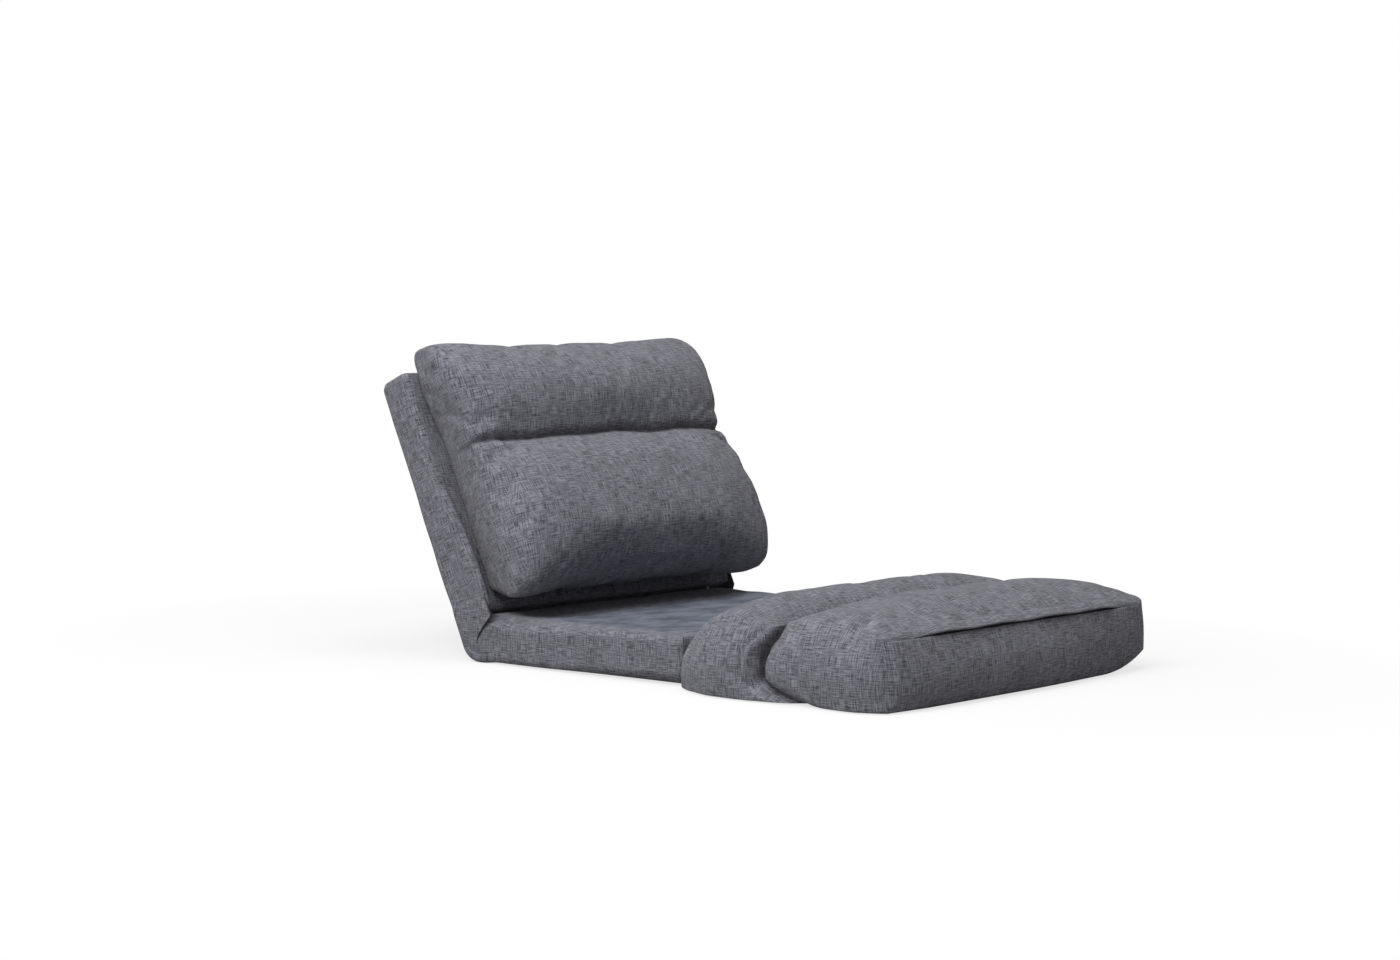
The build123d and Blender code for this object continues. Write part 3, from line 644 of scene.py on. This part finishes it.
def back_pad(cloth):
    """Boxed foam backrest, hollowed at its lower end round the seat."""
    side_wave, front_wave, rear_wave, tuck, welt_height = 0.0018, 0.0012, 0.0016, 0.002, 0.0016
    pad = new_block("back_pad", (-PAD_HALF, -BACK_FRONT, 0.0), (PAD_HALF, BACK_REAR, BACK_LENGTH))
    bevel_edges(pad, lambda a, b: min(a.z, b.z) > 0.4 and crosswise(a, b), width=0.010, segments=4)
    bevel_edges(pad, on_side, width=0.004, segments=2)
    cut(pad, new_block("front_room", (-1, -0.1, -0.1), (1, 0.0, BACK_LOW)))
    cut(pad, new_block("lip_room", (-1, -0.1, -0.1), (1, 0.1, BACK_LIP)))
    cut(pad, new_rod("hollow", HOLLOW, 2, (0, 0, 0)))
    soften(pad, voxel=0.0065, rounds=1)
    divide(pad)
    at = points(pad)
    side = ease(np.abs(at[:, 0]), PAD_HALF - SIDE_BAND, PAD_HALF) * np.sign(at[:, 0])
    covered = 1 - ease(at[:, 2], 0.05, 0.09)
    at[:, 0] += side * side_wave * (1 - covered) * ripple(at[:, 2] + at[:, 1], (0.16, 0.09, 0.27))
    at[:, 0] -= side * tuck * covered
    flat = ease(-at[:, 1], BACK_FRONT - SIDE_BAND, BACK_FRONT)
    at[:, 1] -= flat * front_wave * ripple(at[:, 2] + 0.6 * at[:, 0], (0.23, 0.14, 0.31))
    rear = ease(at[:, 1], BACK_REAR - SIDE_BAND, BACK_REAR)
    waves = ripple(at[:, 2] - 0.5 * at[:, 0], (0.21, 0.13, 0.34))
    at[:, 1] += rear * rear_wave * waves * ease(at[:, 2], 0.06, 0.12)
    swell = BACK_SWELL * ease(at[:, 2], 0.06, 0.14)
    at[:, 1] += rear * swell
    at[:, 0] += side * swell
    at[:, 1] = np.clip(at[:, 1], -BACK_FRONT - 0.001, BACK_REAR + 0.0045)
    beside = ease(np.abs(at[:, 0]), PAD_HALF - 0.004, PAD_HALF - 0.001)
    welt = np.exp(-((at[:, 1] + BACK_FRONT - 0.004) / 0.003) ** 2) * beside
    at[:, 0] += np.sign(at[:, 0]) * welt * welt_height
    flare = ease(np.abs(at[:, 0]), 0.326, 0.340) * (1 - ease(at[:, 2], 0.11, 0.33))
    at[:, 1] -= np.where(at[:, 0] < 0, BACK_FLARE, BACK_FLARE / 5) * flare * ease(-at[:, 1], -0.015, 0.022)
    at[:, 2] += 0.005 * ease(at[:, 2], 0.38, 0.5)
    put(pad, leaned(at))
    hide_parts("back_cover", "back_foam_front", "back_foam_rear")
    dress(pad, cloth, "backrest", leaning=True)


def rear_wrap(cloth):
    """Cloth round the rear of the recline hinge, from the seat's underside to the back's rear face."""
    corner, turned, bent = 0.009, 0.008, math.radians(66)
    flat = CHEEK_X - 0.0012 - corner
    reach = flat + corner * math.pi / 2 + turned
    wrap = new_sheet("rear_wrap", 2 * reach, 1.0, 180, 44)
    at = points(wrap)
    share = at[:, 1] + 0.5
    out = np.abs(at[:, 0])
    bend = np.clip((out - flat) / corner, 0, math.pi / 2)
    x = np.sign(at[:, 0]) * (np.minimum(out, flat) + corner * np.sin(bend))
    inset = corner * (1 - np.cos(bend)) + np.maximum(out - flat - corner * math.pi / 2, 0)
    under, arc, up = 0.05, SEAT_HEIGHT / 2 * bent, 0.09
    run = share * (under + arc + up)
    turn = np.clip((run - under) / arc, 0, 1) * bent - math.pi / 2
    radius = SEAT_HEIGHT / 2 - 0.0003 - inset
    rise = np.maximum(run - under - arc, 0)
    tuck = 0.0035 * ease(rise, 0.055, up)
    y = AXIS_Y + radius * np.cos(turn) - np.maximum(under - run, 0)
    y = y + rise * math.sin(LEAN) - tuck * math.cos(LEAN)
    z = AXIS_Z + radius * np.sin(turn) + rise * math.cos(LEAN) + tuck * math.sin(LEAN)
    close = (1 - ease(run, 0.0, 0.04)) * ease(out, flat - 0.03, flat + 0.012)
    x -= np.sign(x) * 0.003 * close
    put(wrap, np.stack([x, y, np.maximum(z, 0.0003) + 0.004 * close], 1))
    modify(wrap, "SOLIDIFY", thickness=0.001, offset=-1.0)
    face_out(wrap)
    dress(wrap, cloth)
    follow_recline(wrap)


def follow_recline(piece):
    """Put the place of a cloth between the seat and the backrest into its mesh."""
    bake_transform(piece)


def hinge_cheek(name, side, cloth):
    """Side cloth over the recline hinge, open along a slit that runs down to the axis."""
    swell, sink, curl = 0.0008, 0.0032, 0.0006
    edge = np.array([
        (0.2085, 0.0895), (0.218, 0.079), (0.228, 0.068), (0.239, 0.054), (0.247, 0.0425), (0.246, 0.028),
        (0.242, 0.014), (0.252, 0.0065), (0.268, 0.0115), (0.280, 0.023), (0.286, 0.040), (0.294, 0.060),
        (0.303, 0.082), (0.309, 0.098), (0.285, 0.110), (0.258, 0.121), (0.232, 0.128), (0.217, 0.108),
    ])
    free = np.array([1, 1, 1, 1, 0.6, 0, 0, 0, 0, 0, 0, 0, 0, 0, 0, 0, 0.3, 1.0])
    if side > 0:
        back_by = np.zeros(len(edge))
        back_by[[0, 1, 2, 3, 16, 17]] = (0.024, 0.018, 0.012, 0.005, 0.016, 0.024)
        edge[:, 0] += back_by
    middle = np.array((0.257, 0.066))
    spokes, rings = 144, 16
    cheek = new_sheet(name, 1.0, 1.0, spokes, rings)
    at = points(cheek)
    round_share = at[:, 0] + 0.5
    out = 0.02 + 0.98 * (at[:, 1] + 0.5)
    station = np.arange(len(edge) + 1) / len(edge)
    closed = np.vstack([edge, edge[:1]])
    rim_y = np.interp(round_share, station, closed[:, 0])
    rim_z = np.interp(round_share, station, closed[:, 1])
    loose = np.interp(round_share, station, np.append(free, free[0]))
    dip = ease(out, 0.72, 1.0) * (1 - loose)
    x = CHEEK_X + swell * (1 - out ** 2) - sink * dip + curl * loose * ease(out, 0.8, 1.0)
    y = middle[0] + out * (rim_y - middle[0])
    z = middle[1] + out * (rim_z - middle[1])
    put(cheek, np.stack([side * x, y, z], 1))
    # Painted shadow: the cheek's edge along the open slit is darkened where the gap beside the seat is in
    # shade.
    mark(cheek, "seam_and_shade", loose * ease(out, 0.9, 0.97))
    modify(cheek, "WELD", merge_threshold=1e-5)
    face_out(cheek)
    if side * cheek.data.polygons[0].normal.x < 0:
        edit_all(cheek, bpy.ops.mesh.flip_normals)
    modify(cheek, "SOLIDIFY", thickness=0.0014, offset=-1.0)
    dress(cheek, cloth)
    follow_recline(cheek)


def pillow(cloth):
    """Stuffed pillow with one sewn channel across its front."""
    groove_depth, pucker_depth, low_wave, front_wave = 0.012, 0.0035, 0.003, 0.002
    flank_out, flank_in, droop = 0.012, 0.010, 0.012
    piece = copy_solids("pillow_cushion", "pillow_lobe_lower", "pillow_lobe_upper")
    soften(piece, voxel=0.0068, rounds=4)
    put(piece, points(piece) - 0.002 * outward(piece))
    at = upright(points(piece))
    rear = 1 - ease(-at[:, 1], 0.034, 0.05)
    channel = np.exp(-((at[:, 2] - PILLOW_CHANNEL) / 0.012) ** 2) * ease(-at[:, 1], 0.1, 0.13)
    fill_out(piece, np.maximum(rear, channel), travel=0.012 * (1 - 0.9 * rear))
    divide(piece)
    at = upright(points(piece))
    x, depth, up = at[:, 0], -at[:, 1], at[:, 2]
    front = ease(depth, 0.07, 0.12)
    off = up - PILLOW_CHANNEL - 0.004 * ripple(x, (0.31, 0.17))
    groove = np.exp(-(off / 0.0075) ** 2) * front
    at[:, 1] += groove * groove_depth
    end = ease(np.abs(x), 0.16, 0.31)
    pucker = np.exp(-(off / 0.035) ** 2) * front * (0.3 + 0.7 * end)
    at[:, 1] += pucker * pucker_depth * ripple(x, (0.043, 0.027, 0.061))
    low = np.exp(-((up - 0.13) / 0.06) ** 2) * front
    at[:, 1] += low * low_wave * ripple(x + 0.12 * (up - 0.13), (0.09, 0.055, 0.14))
    at[:, 1] += front * front_wave * ripple(up + 0.4 * x, (0.17, 0.11, 0.29))
    at[:, 0] += np.sign(x) * flank_out * ease(np.abs(x), 0.2, 0.31) * ease(depth, 0.07, 0.13)
    at[:, 0] -= (
        np.sign(x) * flank_in * ease(np.abs(x), 0.24, 0.32)
        * (1 - ease(depth, 0.03, 0.09)) * (1 - ease(up, 0.34, 0.44))
    )
    ridge = np.stack([np.abs(x), depth, up], 1) - np.array(RIDGE_LOW)
    run = np.clip(ridge @ RIDGE_WAY / (RIDGE_WAY @ RIDGE_WAY), 0, 1)
    away = np.linalg.norm(ridge - run[:, None] * RIDGE_WAY, axis=1)
    lift = (0.009 * np.exp(-(away / 0.012) ** 2) + 0.006 * np.exp(-(away / 0.032) ** 2)) * (1 - 0.75 * run)
    at[:, 1] -= 0.75 * lift
    at[:, 0] += 0.55 * np.sign(x) * lift
    at[:, 0] += 0.008 * ease(x, 0.2, 0.31) * ease(depth, 0.05, 0.09)
    peak = ease(np.abs(x), 0.2, 0.31) * ease(up, 0.38, 0.475) * ease(depth, 0.02, 0.06)
    at[:, 0] += np.where(x < 0, -0.018, 0.010) * peak
    at[:, 2] += 0.007 * peak
    corner = ease(np.abs(x), 0.17, 0.325) * (1 - ease(up, 0.05, 0.16)) * ease(depth, 0.045, 0.09)
    at[:, 2] -= droop * corner
    put(piece, leaned(at))
    stitched = np.exp(-(away / 0.0028) ** 2) * (1 - run) * 0.45
    # Dark mark: along the corner ridge it is the stitched seam; along the channel it is partly the seam and
    # partly painted shade under the upper lobe.
    mark(piece, "seam_and_shade", np.maximum(np.exp(-(off / 0.004) ** 2) * front * 0.55, stitched))
    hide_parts("pillow_lobe_lower", "pillow_lobe_upper")
    dress(piece, cloth, "pillow", leaning=True)


def leg_crease(x, up):
    """Where the channel between the lobes runs: on the right it swings forward near the floor."""
    swing = 0.09 * np.clip(1 - up / 0.045, 0, 1) ** 2 * (1 - ease(x, 0.0, 0.25))
    return LEG_CREASE_Y - swing - 0.016 * ease(up, 0.08, 0.125)


def leg_front(x, z):
    """How far forward the stuffing pushes the front, most near the floor and to the right."""
    belly = np.sin(math.pi * np.clip(0.94 - z / 0.128, 0, 1) ** 1.1 * 0.72)
    return LEG_FRONT_Y - 0.026 * belly * (1 - 0.75 * ease(x, 0.0, 0.37) - 0.35 * ease(-x, 0.26, 0.38))


def cusp(distance, width):
    """Depth share of the hollow between two round forms that meet."""
    near = np.clip(1 - np.abs(distance) / width, 0, 1)
    return 1 - np.sqrt(1 - near * near)


def leg_top(a, y):
    """Height of the two lobes over a share of the half width and a place along the cushion."""
    fall = 1 - 0.13 * np.abs(a) ** 3.5
    channel = CHANNEL_Z + CHANNEL_RISE * np.abs(a) ** 3
    rear_top = LEG_CREASE_Y + 0.078
    front_half = (LEG_CREASE_Y - LEG_FRONT_Y) / 2
    behind = (y - rear_top) / (FOLD_Y - rear_top)
    before = (rear_top - y) / (rear_top - LEG_CREASE_Y)
    ahead = ((LEG_CREASE_Y - front_half) - y) / front_half
    rear_crown, front_crown = REAR_CROWN * fall, FRONT_CROWN * fall
    rear = rear_crown - (rear_crown - LEG_REAR_Z) * np.clip(behind, 0, 1) ** 1.35
    rear -= (rear_crown - channel) * cusp(1 - np.clip(before, 0, 1), 1)
    front = front_crown - (front_crown - LEG_SEAM_Z) * np.clip(ahead, 0, 1) ** 2.4
    front -= (front_crown - channel) * cusp(1 + np.clip(ahead, -1, 0), 1)
    return np.where(y > LEG_CREASE_Y, rear, front)


def leg_form(places):
    """Form a block into the two-lobed cushion: crowns, round ends, channel and belly."""
    a, y, c = places[:, 0] / LEG_HALF, places[:, 1], places[:, 2] / LEG_BLOCK
    rear_half, front_half, crease_half = 0.410, 0.400, 0.405
    half = np.where(y > LEG_CREASE_Y, rear_half, front_half)
    half = half + (crease_half - half) * cusp(y - LEG_CREASE_Y, 0.05)
    half -= 0.055 * np.clip(1 - (FOLD_Y - y) / 0.15, 0, 1) ** 2
    half -= 0.034 * np.clip(1 - (y - LEG_FRONT_Y) / 0.06, 0, 1) ** 2
    half += np.where(a > 0, 0.009, 0.0) * ease(LEG_CREASE_Y - y, 0.05, 0.2)
    off = y - leg_crease(places[:, 0], places[:, 2])
    depth = 0.032 + 0.022 * (1 - ease(places[:, 2], 0.01, 0.05))
    half -= depth * cusp(off, np.where(off > 0, 0.055, 0.075))
    half -= 0.042 * np.clip((c - 0.35) / 0.65, 0, 1) ** 2 * ease(y - LEG_FRONT_Y, 0.0, 0.07)
    lift = 0.034 * np.clip((a - 0.6) / 0.4, 0, 1) ** 2.5
    front = np.clip((y - LEG_CREASE_Y) / (LEG_FRONT_Y - LEG_CREASE_Y), 0, 1) ** 3
    z = lift + c * (leg_top(a, y) - lift)
    x = a * half
    return np.stack([x, y + front * (leg_front(x, z) - LEG_FRONT_Y), z], 1)


def leg_cushion(cloth):
    """Stuffed leg cushion with a deep sewn channel between its two lobes."""
    groove_depth, gather_depth, pinch_depth, top_wave, end_wave = 0.012, 0.005, 0.020, 0.0018, 0.0015
    piece = new_block("leg_cushion", (-LEG_HALF, LEG_FRONT_Y + 0.003, 0.0), (LEG_HALF, LEG_REAR_Y, LEG_BLOCK))
    soften(piece, voxel=0.0075, rounds=3)
    put(piece, leg_form(points(piece)))
    at = points(piece)
    ahead = at[:, 1] - leg_front(at[:, 0], at[:, 2])
    front = 1 - ease(ahead, 0.006, 0.02)
    sole = 1 - ease(at[:, 2], 0.004, 0.012)
    rear = ease(at[:, 1], FOLD_Y - 0.02, FOLD_Y - 0.004)
    off = at[:, 1] - leg_crease(at[:, 0], at[:, 2])
    crease = np.exp(-(off / 0.01) ** 2) * ease(at[:, 2], 0.01, 0.03)
    held = np.max([front, sole, rear, crease], axis=0)
    fill_out(piece, held, travel=0.006 * (1 - np.maximum(front, np.maximum(sole, rear))))
    divide(piece)
    at = points(piece)
    wander = 0.003 * ripple(at[:, 0], (0.29, 0.16))
    off = at[:, 1] - leg_crease(at[:, 0], at[:, 2]) - wander
    top = ease(at[:, 2], 0.085, 0.105)
    at[:, 2] -= np.exp(-(off / 0.006) ** 2) * groove_depth * top * (1 - ease(np.abs(at[:, 0]), 0.3, 0.36))
    ends = ease(np.abs(at[:, 0]), 0.27, 0.33)
    clear = ease(at[:, 2] - np.where(at[:, 0] > 0, 0.04, 0.012), 0.0, 0.03)
    gather = np.exp(-((off - 0.016) / 0.018) ** 2) * ends * clear
    at[:, 0] += np.sign(at[:, 0]) * gather * gather_depth * ripple(off + 0.12 * at[:, 2], (0.0145, 0.023))
    pinch = np.exp(-(off / 0.005) ** 2) * ends * clear
    at[:, 0] -= np.sign(at[:, 0]) * pinch * pinch_depth
    lobes = ease(at[:, 2], 0.1, 0.14)
    at[:, 2] += lobes * top_wave * ripple(at[:, 0] + 0.6 * at[:, 1], (0.23, 0.15, 0.34))
    at[:, 0] += np.sign(at[:, 0]) * ends * end_wave * ripple(at[:, 1] + 0.7 * at[:, 2], (0.09, 0.06, 0.15))
    at[:, 2] = np.clip(at[:, 2], 0.0015, 0.167)
    inside = np.abs(at[:, 0]) < PANEL_HALF - 0.004
    least = leg_front(at[:, 0], at[:, 2]) + np.where(inside, 0.0025, -0.004)
    pocket = ease(at[:, 2], 0.068, 0.08) * (1 - ease(at[:, 2], 0.117, 0.121))
    pocket = pocket * (np.abs(at[:, 0]) < ZIP_HALF)
    least += pocket * np.maximum(LEG_FRONT_Y + 0.0005 - least, 0)
    at[:, 1] = np.clip(at[:, 1], least, LEG_REAR_Y)
    put(piece, at)
    # Painted shade: the channel between the lobes is darkened, wider towards the ends where the crease folds
    # in deep.
    mark(piece, "seam_and_shade", np.exp(-(off / (0.005 + 0.005 * ends)) ** 2) * ease(at[:, 2], 0.012, 0.03) * 0.9)
    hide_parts("leg_lobe_rear", "leg_lobe_front")
    dress(piece, cloth, "leg_rest")


def leg_panel(cloth):
    """Front panel, puffed forward over the zip, with its upper edge turned in below the flap."""
    turn_at = 0.94
    panel = new_sheet("leg_panel", 2 * PANEL_HALF, 1.0, 150, 40)
    at = points(panel)
    x = at[:, 0]
    share = at[:, 1] + 0.5
    z = PANEL_LOW + (PANEL_HIGH - PANEL_LOW) * np.minimum(share / turn_at, 1)
    turned = ease(share, turn_at, 1.0)
    side = np.maximum(1 - np.abs(x / PANEL_HALF) ** 12, 0) ** 0.6
    puff = np.sin(np.clip(share / turn_at, 0, 1) * math.pi * 0.62) ** 0.6
    y = leg_front(x, z) + 0.0045 - 0.0125 * puff * side + turned * 0.003
    y -= 0.001 * ripple(x + 0.7 * z, (0.13, 0.22, 0.086)) * side
    z -= turned * 0.001 + 0.004 * np.abs(x / PANEL_HALF) ** 4 * (share - 0.5)
    z += 0.030 * np.clip((x / LEG_HALF - 0.6) / 0.34, 0, 1) ** 2.5 * np.clip(1 - share, 0, 1)
    put(panel, np.stack([x, y, z], 1))
    modify(panel, "SOLIDIFY", thickness=0.0022, offset=-1.0)
    face_out(panel)
    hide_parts("leg_front_panel")
    dress(panel, cloth, "leg_rest")


def zip_flap(cloth):
    """Narrow flap above the zip, tacked down in four stretches."""
    flap = new_sheet("zip_flap", 2 * ZIP_HALF, 1.0, 160, 10)
    at = points(flap)
    x = at[:, 0]
    share = at[:, 1] + 0.5
    open_edge = 0.5 + 0.5 * np.cos(2 * math.pi * (x + ZIP_HALF) / (ZIP_HALF / 2))
    ends = np.abs(x / ZIP_HALF) ** 10
    y = LEG_FRONT_Y + 0.016 - (0.0275 - 0.012 * ends) * share + 0.0015 * share * open_edge
    z = 0.1365 - 0.0145 * share ** 1.5 - 0.0022 * open_edge * share - 0.006 * ends
    z -= 0.009 * (1 - ease(share, 0.0, 0.5))
    put(flap, np.stack([x, y, z], 1))
    modify(flap, "SOLIDIFY", thickness=0.002, offset=-1.0)
    face_out(flap)
    dress(flap, cloth, "leg_rest")


def fold_gusset(cloth):
    """Sewn cloth hinge between the seat's front and the leg cushion, folded down in the gap at rest."""
    low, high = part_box("fold_strip")
    gusset = new_sheet("fold_gusset", high.x - low.x, 1.0, 60, 44)
    at = points(gusset)
    share = at[:, 1] + 0.5
    drop = 0.045
    middle = np.clip((share - 0.2) / 0.6, 0, 1)
    y = FOLD_Y + 0.0013 - 0.0026 * middle
    hanging = drop * (np.maximum(0.2 - share, 0) + np.maximum(share - 0.8, 0)) / 0.2
    z = SEAT_HEIGHT - 0.006 + 0.002 * np.sin(middle * math.pi) - hanging
    put(gusset, np.stack([at[:, 0], y, z], 1))
    modify(gusset, "SOLIDIFY", thickness=0.0005, offset=0.0)
    face_out(gusset)
    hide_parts("fold_strip")
    dress(gusset, cloth)
    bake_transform(gusset)


def strips(name, node, cloth, body):
    """Two fuzzy strips with rounded corners."""
    made = []
    solid = upright(points(frame["nodes"][node]))
    low, high = solid.min(0), solid.max(0)
    width = 0.05
    for number, side in enumerate((-1, 1)):
        edge = high[0] if side > 0 else low[0]
        inner = edge - side * width
        start = (min(edge, inner), low[1], low[2])
        end = (max(edge, inner), high[1], high[2])
        strip = new_block(f"{name}_{number}", start, end)
        bevel_edges(strip, lambda a, b: abs(a.y - b.y) > 1e-4, width=0.008, segments=5)
        bevel_edges(strip, lambda a, b: abs(a.y - b.y) < 1e-6, width=0.0003, segments=2)
        put(strip, leaned(points(strip)))
        made.append(strip)
    for strip in made:
        dress(strip, cloth, body, leaning=True)
    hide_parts(node)


def paint_nodes(finishes):
    """Give each CAD node the finish of its slot."""
    slots = {part["node"]: part["material_slot"] for part in frame["record"]["subparts"]}
    for name, node in frame["nodes"].items():
        node.data.materials.clear()
        node.data.materials.append(finishes[slots[name]])


# Studio

def studio():
    """White floor, soft light from the upper left, and the camera."""
    bpy.ops.object.select_all(action="DESELECT")
    bpy.ops.mesh.primitive_circle_add(vertices=96, radius=14, fill_type="NGON", location=(0, 0, -0.0008))
    floor = named("floor")
    finish = Finish("floor_white")
    seen = finish.node("ShaderNodeLightPath", {}, {}, "Is Camera Ray")
    at = finish.place((1 / 0.95, 1 / 1.2, 0))
    away = finish.node("ShaderNodeVectorMath", {"operation": "LENGTH"}, {0: at}, "Value")
    fade = {"Value": away, "From Min": 0.6, "From Max": 1.25, "To Min": 0.72, "To Max": 1.0}
    white = seen * finish.node("ShaderNodeMapRange", {}, fade)
    grey = finish.between(seen, (0.42, 0.42, 0.42, 1), (0.85, 0.85, 0.85, 1))
    plain = finish.node("ShaderNodeBsdfDiffuse", {}, {"Color": grey})
    glow = finish.node("ShaderNodeEmission", {}, {"Color": (1, 1, 1, 1), "Strength": 1.0})
    both = finish.node("ShaderNodeMixShader", {}, {0: white, 1: plain, 2: glow})
    finish.tree.links.new(both.socket, finish.tree.nodes["Material Output"].inputs["Surface"])
    floor.data.materials.append(finish.material)
    scene = bpy.context.scene
    scene.view_settings.view_transform = "Standard"
    scene.world = bpy.data.worlds.new("studio")
    scene.world.use_nodes = True
    tree = scene.world.node_tree
    sky = tree.nodes["Background"]
    path = tree.nodes.new("ShaderNodeLightPath")
    level = tree.nodes.new("ShaderNodeMath")
    level.operation = "MULTIPLY_ADD"
    level.inputs[1].default_value = 0.77
    level.inputs[2].default_value = 0.23
    sky.inputs["Color"].default_value = (1, 1, 1, 1)
    tree.links.new(path.outputs["Is Camera Ray"], level.inputs[0])
    tree.links.new(level.outputs[0], sky.inputs["Strength"])
    lamp("key", (-2.9, -0.45, 3.35), LIGHT_TARGET, size=2.6, power=152)
    lamp("top", (0.0, -1.0, 4.3), LIGHT_TARGET, size=2.6, power=62)
    camera = bpy.data.objects.new("camera", bpy.data.cameras.new("camera"))
    scene.collection.objects.link(camera)
    camera.location = CAMERA_PLACE
    camera.rotation_euler = (Vector(CAMERA_TARGET) - camera.location).to_track_quat("-Z", "Y").to_euler()
    camera.data.sensor_width = SENSOR
    camera.data.lens = SENSOR * FOCAL_LENGTH / PHOTO_WIDTH
    camera.data.shift_x = (PHOTO_WIDTH / 2 - CENTRE_X) / PHOTO_WIDTH
    camera.data.shift_y = (CENTRE_Y - PHOTO_HEIGHT / 2) / PHOTO_WIDTH
    scene.camera = camera


def lamp(name, place, target, size, power):
    """Round soft light, turned to a point."""
    light = bpy.data.lights.new(name, "AREA")
    light.shape = "DISK"
    light.size = size
    light.energy = power
    lamp_object = bpy.data.objects.new(name, light)
    lamp_object.location = place
    lamp_object.rotation_euler = (Vector(target) - Vector(place)).to_track_quat("-Z", "Y").to_euler()
    bpy.context.scene.collection.objects.link(lamp_object)


finishes = {
    "cover_cloth": heather_cloth("cover_cloth", (0.044, 0.044, 0.053, 1), (0.280, 0.282, 0.329, 1)),
    "lining_cloth": lining_cloth(),
    "base_cloth": base_cloth(),
    "hook_loop": hook_cloth(),
    "zip_tape": zip_cloth(),
    "zip_plastic": zip_plastic(),
    "frame_paint": frame_paint(),
    "hinge_steel": steel("hinge_steel", (0.3, 0.3, 0.31, 1), (0.62, 0.62, 0.63, 1)),
    "spring_steel": steel("spring_steel", (0.12, 0.13, 0.15, 1), (0.3, 0.31, 0.34, 1)),
}
finishes["foam"] = finishes["base_cloth"]
paint_nodes(finishes)
cover = finishes["cover_cloth"]
seat = seat_pad(cover)
seat_lining_panel(seat, finishes["lining_cloth"])
base_sheet("seat_base_sheet", "seat_base_cloth", finishes["base_cloth"], "seat")
back_pad(cover)
rear_wrap(cover)
hinge_cheek("hinge_cheek_right", -1, cover)
hinge_cheek("hinge_cheek_left", 1, cover)
pillow(cover)
leg_cushion(cover)
base_sheet("leg_base_sheet", "leg_base_cloth", finishes["base_cloth"], "leg_rest")
leg_panel(cover)
zip_flap(cover)
fold_gusset(cover)
strips("loop_strip", "back_loop_strips", finishes["hook_loop"], "backrest")
strips("hook_strip", "pillow_hook_strips", finishes["hook_loop"], "pillow")
studio()
